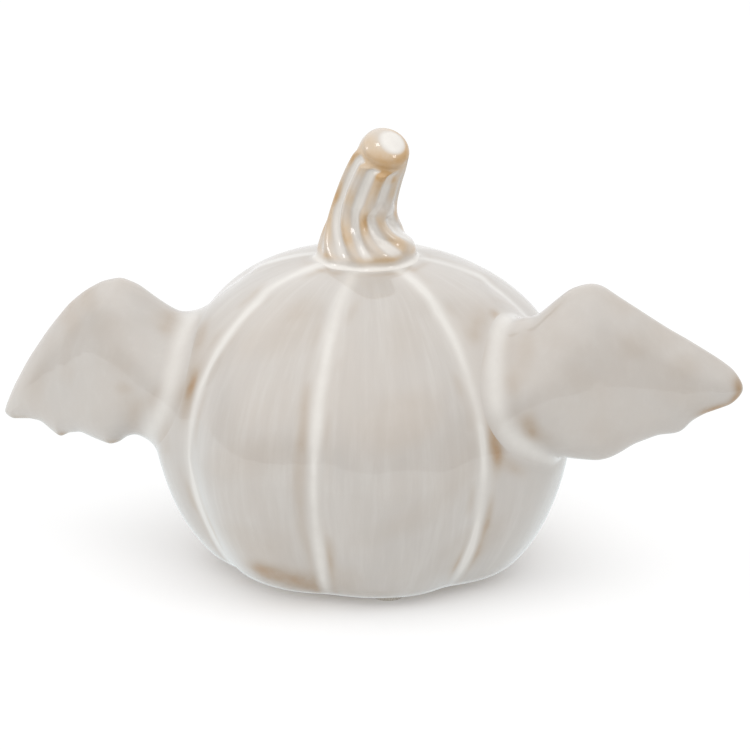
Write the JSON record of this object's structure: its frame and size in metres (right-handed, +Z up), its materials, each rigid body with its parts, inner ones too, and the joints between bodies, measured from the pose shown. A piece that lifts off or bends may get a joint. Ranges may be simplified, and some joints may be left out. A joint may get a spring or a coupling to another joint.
{
  "type": "ceramic pumpkin figure",
  "caption": "Glazed ceramic pumpkin figure with a lobed hollow body, a twisted stem and a pair of scalloped bat wings, for a shelf or table.",
  "frame": {"origin": "on the pumpkin's upright axis, on the surface that the pads rest on, within 1 mm of the middle of the whole figure's footprint", "axes": "+Z up through the stem; -Y is the front, where a groove runs down the middle; +X is the side of the higher wing"},
  "size_m": [0.1992, 0.1087, 0.1153],
  "materials": {
    "body_glaze": "gloss",
    "stem_glaze": "gloss",
    "wing_glaze": "gloss",
    "pad_felt": "matte"
  },
  "bodies": {
    "root": {"pumpkin_body": "body_glaze", "stem": "stem_glaze", "wing_left": "wing_glaze", "wing_right": "wing_glaze", "felt_pad_1": "pad_felt", "felt_pad_2": "pad_felt", "felt_pad_3": "pad_felt", "felt_pad_4": "pad_felt"}
  },
  "joints": []
}
